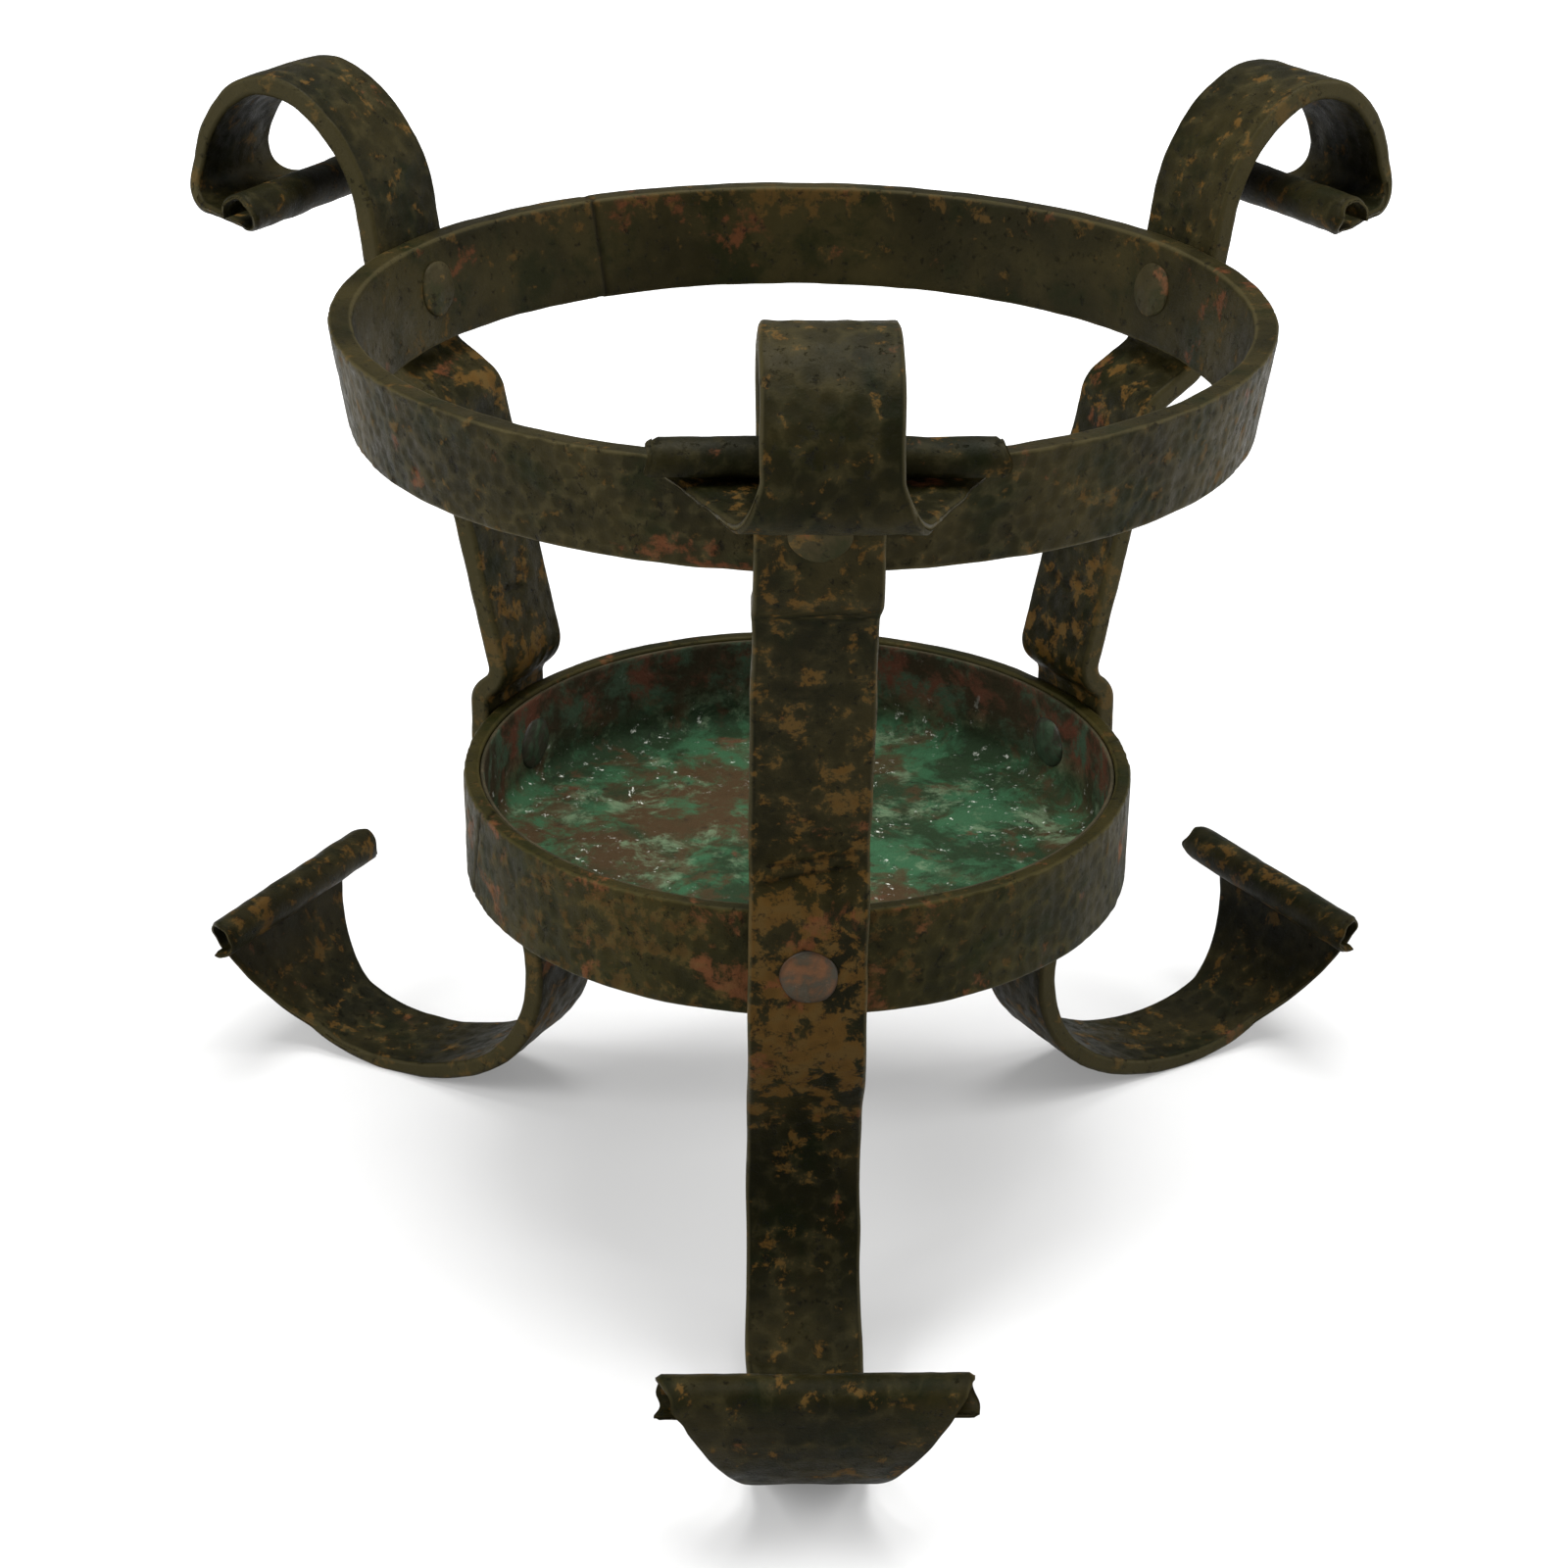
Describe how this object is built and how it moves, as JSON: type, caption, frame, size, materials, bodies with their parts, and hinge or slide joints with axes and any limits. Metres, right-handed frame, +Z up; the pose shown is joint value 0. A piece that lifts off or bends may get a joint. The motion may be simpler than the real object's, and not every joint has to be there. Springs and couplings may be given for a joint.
{
  "type": "charcoal brazier stand",
  "caption": "Hammered copper-alloy tripod brazier: strap legs with scrolled tops and rolled feet carry a shallow coal pan and, above it, a ring that holds a pot.",
  "frame": {"origin": "centre of the upper ring's top rim, where a pot rests", "axes": "+Z up, out of the ring's rim; one leg points along -Y and the other two stand 30 degrees behind +X and -X"},
  "size_m": [0.2902, 0.2546, 0.2516],
  "materials": {
    "hammered_bar": "hammered copper-alloy bar with a dark brown-green patina",
    "leg_strap": "hammered copper-alloy strap, dark patina worn to ochre in patches",
    "dish_sheet": "thin copper sheet with green verdigris",
    "rivet_copper": "copper rivet, worn reddish brown"
  },
  "bodies": {
    "root": {"upper_ring": "hammered_bar", "pan_hoop": "hammered_bar", "pan_dish": "dish_sheet", "leg_front": "leg_strap", "ring_rivet_front": "rivet_copper", "pan_rivet_front": "rivet_copper", "leg_rear_right": "leg_strap", "ring_rivet_rear_right": "rivet_copper", "pan_rivet_rear_right": "rivet_copper", "leg_rear_left": "leg_strap", "ring_rivet_rear_left": "rivet_copper", "pan_rivet_rear_left": "rivet_copper"}
  },
  "joints": []
}
